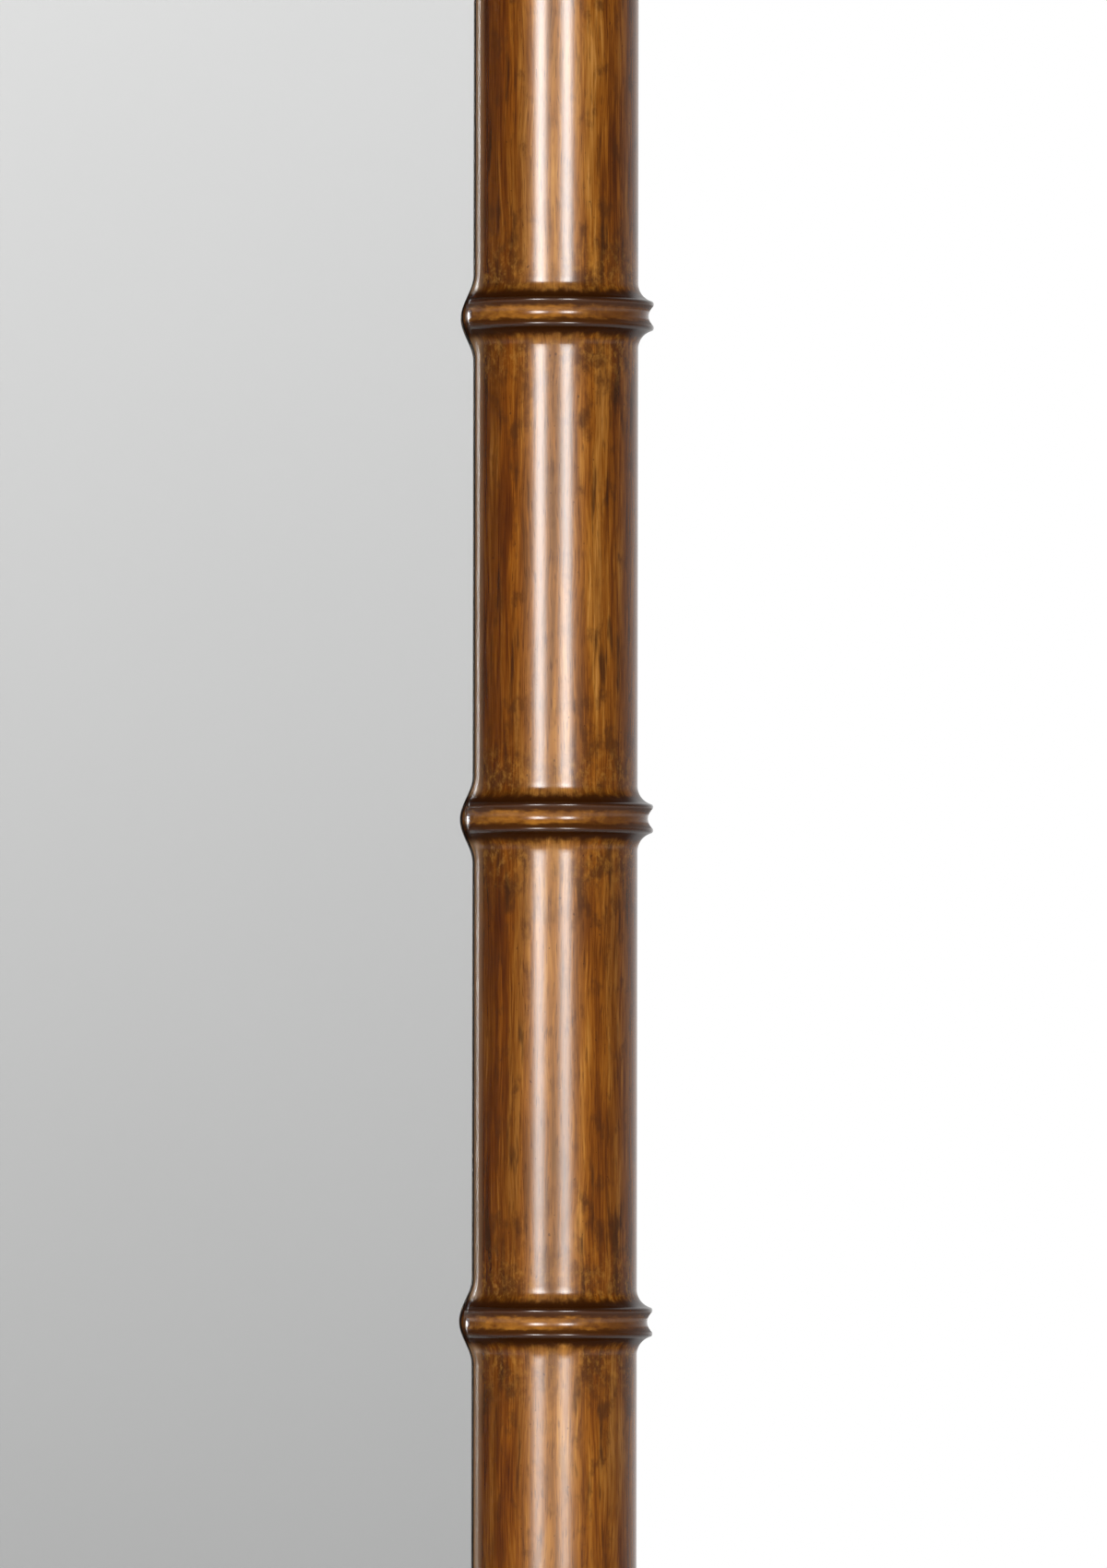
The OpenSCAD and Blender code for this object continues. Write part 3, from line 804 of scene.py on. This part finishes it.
def box_mesh(name, low, high, ease):
    """A box with its edges eased."""
    mesh = bpy.data.meshes.new(name)
    bm = bmesh.new()
    bmesh.ops.create_cube(bm, size=1)
    size = high - low
    for vertex in bm.verts:
        vertex.co = (low + high) / 2 + Vector(vertex.co[i] * size[i] for i in range(3))
    ease_edges(bm, bm.edges[:], ease)
    bm.to_mesh(mesh)
    bm.free()
    return mesh


# The glass keeps this far from the silver, so that the two faces never coincide
GLASS_GAP = 0.02 * MM
PANE_EASE = 0.3 * MM
glass_back = Vector((glass_high.x, glass_high.y - GLASS_GAP, glass_high.z))
pane = box_mesh("pane", glass_low, glass_back, PANE_EASE)
add_piece("mirror_pane", pane, GLASS, "frame", "clear_glass", "mirror_glass")


# D-rings

# The rings, to the middle of their wire, as in the part
WIRE_R = 1.3 * MM
RING_HALF = 8.8 * MM
RING_LEG = 6 * MM
RING_BEND = 2 * MM

# Steps of the arcs: round a bend and the bow of a ring, and round its wire
BEND_STEPS = 8
BOW_STEPS = 40
WIRE_STEPS = 24


def arc(x, z, radius, start, end, steps):
    """Points of an arc in the XZ plane, its angles in degrees from +X towards +Z."""
    angles = [radians(start + (end - start) * i / steps) for i in range(steps + 1)]
    return [Vector((x + radius * cos(a), 0, z + radius * sin(a))) for a in angles]


def skin(bm, rings, closed):
    """Faces between rings of vertices that follow one another, the last ring to the first if closed."""
    count = len(rings[0])
    for i in range(len(rings) if closed else len(rings) - 1):
        here, there = rings[i], rings[(i + 1) % len(rings)]
        for k in range(count):
            bm.faces.new((here[k], here[(k + 1) % count], there[(k + 1) % count], there[k]))


def smooth_mesh(name, bm, place):
    """Turns what was built into a smooth mesh at its place."""
    bmesh.ops.recalc_face_normals(bm, faces=bm.faces)
    mesh = bpy.data.meshes.new(name)
    bm.to_mesh(mesh)
    bm.free()
    mesh.transform(place)
    mesh.shade_smooth()
    mesh.set_sharp_from_angle(angle=ROUND_SHARP)
    return mesh


def ring_mesh(name, eye, low_y):
    """A D-ring with its bar in the eye and its bow upwards, leaning as far as the frame lets it."""
    bend_x = RING_HALF - RING_BEND
    path = arc(bend_x, RING_BEND, RING_BEND, -90, 0, BEND_STEPS)
    path += arc(0, RING_LEG, RING_HALF, 0, 180, BOW_STEPS)
    path += arc(-bend_x, RING_BEND, RING_BEND, 180, 270, BEND_STEPS)
    back = Vector((0, 1, 0))
    turns = [2 * pi * k / WIRE_STEPS for k in range(WIRE_STEPS)]
    bm = bmesh.new()
    rings = []
    for i, point in enumerate(path):
        ahead = path[(i + 1) % len(path)] - path[i - 1]
        side = ahead.cross(back).normalized()
        rings.append([bm.verts.new(point + WIRE_R * (side * cos(a) + back * sin(a))) for a in turns])
    skin(bm, rings, closed=True)
    lean = asin((eye.y - low_y - WIRE_R) / (RING_LEG + RING_HALF))
    return smooth_mesh(name, bm, Matrix.Translation(eye) @ Matrix.Rotation(lean, 4, "X"))


for joint in frame["record"]["behaviour"]["joints"]:
    if joint["child"].startswith("d_ring"):
        node = joint["child"]
        wire = ring_mesh(node + "_bent", Vector(joint["pos_m"]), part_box(node)[0].y)
        add_piece(node + "_wire", wire, ZINC, node, "zinc_plate", node)


# Bumpers and board

# The bumpers at the frame and at the wall, as in the part, and the rounding of their rim
BUMPER_R = 7 * MM
BUMPER_FACE_R = 5.5 * MM
BUMPER_EASE = 0.6 * MM
BUMPER_STEPS = 48

# The rounding starts at this many degrees, about where it runs on from the flank
RIM_START = 15
RIM_STEPS = 5
BOARD_EASE = 0.25 * MM


def bumpers_mesh(name, low, high):
    """Four rubber feet with a rounded rim, one near each corner of the box from low to high."""
    height = high.y - low.y
    flank = (BUMPER_R - BUMPER_FACE_R) / height
    profile = [(BUMPER_R, 0.0), (BUMPER_FACE_R + flank * BUMPER_EASE, height - BUMPER_EASE)]
    rim = arc(BUMPER_FACE_R - BUMPER_EASE, height - BUMPER_EASE, BUMPER_EASE, RIM_START, 90, RIM_STEPS)
    profile += [(point.x, point.z) for point in rim]
    turns = [2 * pi * k / BUMPER_STEPS for k in range(BUMPER_STEPS)]
    bm = bmesh.new()
    for x in (low.x + BUMPER_R, high.x - BUMPER_R):
        for z in (low.z + BUMPER_R, high.z - BUMPER_R):
            rings = []
            for radius, depth in profile:
                y = low.y + depth
                circle = [Vector((x + radius * cos(a), y, z + radius * sin(a))) for a in turns]
                rings.append([bm.verts.new(point) for point in circle])
            skin(bm, rings, closed=False)
            bm.faces.new(rings[0])
            bm.faces.new(rings[-1])
    return smooth_mesh(name, bm, Matrix.Identity(4))


feet = bumpers_mesh("feet", *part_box("wall_bumpers"))
add_piece("rubber_feet", feet, RUBBER, "frame", "rubber", "wall_bumpers")

board = box_mesh("board", *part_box("backing_board"), BOARD_EASE)
add_piece("hardboard_sheet", board, HARDBOARD, "frame", "hardboard", "backing_board")


# Plates, straps, buttons and screws

# Vertices of the CAD's mesh this close are one, and faces that differ by less than this angle are joined
SAME_POINT = 0.001 * MM
SAME_FACE = radians(1)

# Edges that turn by more than this are eased, by less on the screws than on the rest
EASED_TURN = radians(35)
PLATE_EASE = 0.22 * MM
SCREW_EASE = 0.16 * MM


def eased_copy(node, body, material, slot, ease):
    """A copy of a CAD node's solid with its sharp edges eased."""
    bm = bmesh.new()
    bm.from_mesh(frame["nodes"][node].data)
    bmesh.ops.remove_doubles(bm, verts=bm.verts, dist=SAME_POINT)
    bmesh.ops.dissolve_limit(bm, angle_limit=SAME_FACE, verts=bm.verts, edges=bm.edges)
    ease_edges(bm, [e for e in bm.edges if e.is_manifold and e.calc_face_angle() > EASED_TURN], ease)
    mesh = bpy.data.meshes.new(node + "_eased")
    bm.to_mesh(mesh)
    bm.free()
    mesh.shade_smooth()
    mesh.set_sharp_from_angle(angle=STEEL_SHARP)
    piece = add_piece(node + "_steel", mesh, material, body, slot, node)
    piece.modifiers.new("flat_faces", "WEIGHTED_NORMAL").keep_sharp = True


for body, members in frame["record"]["behaviour"]["bodies"].items():
    for node in members:
        if node.endswith("screws"):
            eased_copy(node, body, SCREW_ZINC, "zinc_screws", SCREW_EASE)
        elif node.startswith(("corner_plate_", "turn_button_", "hanger_strap_")):
            eased_copy(node, body, ZINC, "zinc_plate", PLATE_EASE)

# Materials of the CAD nodes that stay as they are
KEPT = {
    "corner_biscuits": BISCUIT,
    "silvered_coating": SILVER,
    "rebate_tape": TAPE,
    "setting_blocks": RUBBER,
    "corrugated_sheet": CARDBOARD,
}
for node, material in KEPT.items():
    mesh = frame["nodes"][node].data
    mesh.materials.clear()
    mesh.materials.append(material)


# Studio

# The camera stands far off, a little left of the pole and below the middle of what it sees
CAMERA_DISTANCE = 3.5
CAMERA_X = 0.186
CAMERA_Z = -0.2534
AIM_X = 0.2896
AIM_Z = -0.179
CAMERA_ROLL = radians(0.09)
SENSOR_W = 36.0

# Width that the picture takes in at the pole, and the distances between which the camera sees
VIEW_W = 255.1 * MM
CLIP = (0.05, 100)


def add_camera():
    """A long lens that looks at the right stile."""
    data = bpy.data.cameras.new("camera")
    data.sensor_fit = "HORIZONTAL"
    data.sensor_width = SENSOR_W
    data.lens = SENSOR_W * CAMERA_DISTANCE / VIEW_W
    data.clip_start, data.clip_end = CLIP
    camera = bpy.data.objects.new("camera", data)
    bpy.context.scene.collection.objects.link(camera)
    camera.location = (CAMERA_X, POLE_Y - CAMERA_DISTANCE, CAMERA_Z)
    aim = Vector((AIM_X, POLE_Y, AIM_Z))
    level = (aim - camera.location).to_track_quat("-Z", "Y").to_matrix()
    camera.rotation_euler = (level @ Matrix.Rotation(CAMERA_ROLL, 3, "Z")).to_euler()
    bpy.context.scene.camera = camera


# Two upright soft boxes light the front: the angle of each from straight ahead, towards +X, and its
# strength. Each fades out between two angles from its middle sideways, and low and high up.
SOFT_BOXES = ((radians(-23.6), 30.0), (radians(13.0), 28.0))
BOX_SIDE = (radians(11), radians(1))
BOX_LOW = (radians(-3.1), radians(3.3))
BOX_TOP = (radians(22), radians(16))

# The grey wall behind the camera, which the mirror shows: its brightness at eye level, its change upwards
# and the range of that, and its change from one angle sideways to another, by these two factors. It fades
# out between two angles sideways, and up and down.
WALL_GREY = 0.588
WALL_SLOPE = 3.08
WALL_RANGE = (-0.093, 0.16)
WALL_SIDEWAYS = (-0.15, 0.15, 1.21, 0.79)
WALL_SIDE = (radians(44), radians(20))
WALL_EDGE = (radians(20), radians(8))

# The studio is dim past that wall, up to the white cloth behind the mirror
DIM = 0.09
CLOTH_SIDE = (radians(93), radians(165))
CLOTH_EDGE = (radians(65), radians(40))

# Dim light that only fills: from high behind the mirror for its back, and from above for the floor
BACK_LAMP = 2.0
BACK_SIDE = (radians(120), radians(150))
BACK_LOW = (radians(12), radians(22))
BACK_TOP = (radians(62), radians(50))
SKYLIGHT = 0.5
SKY_EDGE = (radians(50), radians(68))


def add_world():
    """A grey wall in front that is lighter above, dim sides, two soft boxes, and white behind."""
    world = bpy.data.worlds.new("studio")
    bpy.context.scene.world = world
    world.use_nodes = True
    g = Graph(world.node_tree)
    x, y, z = g.split(g.node("TexCoord").outputs["Generated"])
    azimuth = g.math("ARCTAN2", x, g.math("MULTIPLY", y, -1.0))
    aside = g.math("ABSOLUTE", azimuth)
    elevation = g.math("ARCSINE", z)
    off_level = g.math("ABSOLUTE", elevation)

    low, high = WALL_RANGE
    grey = g.line(z, low, high, WALL_GREY + low * WALL_SLOPE, WALL_GREY + high * WALL_SLOPE)
    grey = g.math("MULTIPLY", grey, g.line(azimuth, *WALL_SIDEWAYS))
    wall = g.math("MULTIPLY", g.fade(aside, *WALL_SIDE), g.fade(off_level, *WALL_EDGE))
    room = g.math("MULTIPLY_ADD", g.math("SUBTRACT", grey, DIM), wall, DIM)
    cloth = g.math("MULTIPLY", g.line(aside, *CLOTH_SIDE), g.fade(off_level, *CLOTH_EDGE))
    room = g.math("MULTIPLY_ADD", cloth, 1 - DIM, room)

    behind = g.math("MULTIPLY", g.fade(elevation, *BACK_LOW), g.fade(elevation, *BACK_TOP))
    behind = g.math("MULTIPLY", behind, g.fade(aside, *BACK_SIDE))
    fill = g.math("MULTIPLY", g.fade(elevation, *SKY_EDGE), SKYLIGHT)
    fill = g.math("MULTIPLY_ADD", behind, BACK_LAMP, fill)
    fill = g.math("MULTIPLY", fill, g.node("LightPath").outputs["Is Diffuse Ray"])
    boxes = 0.0
    for middle, strength in SOFT_BOXES:
        offset = g.math("ABSOLUTE", g.math("SUBTRACT", azimuth, middle))
        boxes = g.math("MULTIPLY_ADD", g.fade(offset, *BOX_SIDE), strength, boxes)
    ends = g.math("MULTIPLY", g.fade(elevation, *BOX_LOW), g.fade(elevation, *BOX_TOP))
    lamps = g.math("MULTIPLY_ADD", boxes, ends, fill)

    light = g.node("Background", {"Color": (1, 1, 1, 1), "Strength": g.math("ADD", room, lamps)})
    white = g.node("Background", {"Color": (1, 1, 1, 1), "Strength": 1.0})
    camera_ray = g.node("LightPath").outputs["Is Camera Ray"]
    shown = g.node("MixShader", {0: camera_ray, 1: light.outputs[0], 2: white.outputs[0]})
    output = g.tree.nodes.new("ShaderNodeOutputWorld")
    g.tree.links.new(shown.outputs[0], output.inputs["Surface"])


# The floor's size, its depth below the mirror, and the distances between which it fades out
FLOOR_R = 12.0
FLOOR_DROP = 0.35
FLOOR_FADE = (FLOOR_R * 0.35, FLOOR_R * 0.98)
FLOOR_STEPS = 96


def add_floor():
    """A pale floor below the mirror that fades out towards its rim and can be seen through from below."""
    mesh = bpy.data.meshes.new("floor")
    bm = bmesh.new()
    bmesh.ops.create_circle(bm, cap_ends=True, radius=FLOOR_R, segments=FLOOR_STEPS)
    bm.to_mesh(mesh)
    bm.free()
    material, g = new_material("pale_floor")
    place = g.node("TexCoord").outputs["Object"]
    distance = g.node("VectorMath", {0: place}, operation="LENGTH").outputs["Value"]
    speckle = g.noise(g.scale(place, 30.0), detail=3.0)
    colour = g.mix(speckle, (0.80, 0.80, 0.80), (0.84, 0.84, 0.84))
    plain = g.node("BsdfPrincipled", {"Base Color": colour, "Roughness": 0.8})
    clear = g.node("BsdfTransparent")
    below = g.node("NewGeometry").outputs["Backfacing"]
    unseen = g.math("MAXIMUM", g.fade(distance, *FLOOR_FADE), below)
    g.surface(g.node("MixShader", {0: unseen, 1: plain.outputs[0], 2: clear.outputs[0]}))
    mesh.materials.append(material)
    floor = bpy.data.objects.new("floor", mesh)
    bpy.context.scene.collection.objects.link(floor)
    floor.location = (0, 0, cad_box[0].z - FLOOR_DROP)


add_camera()
add_world()
add_floor()
bpy.context.scene.view_settings.view_transform = "Standard"
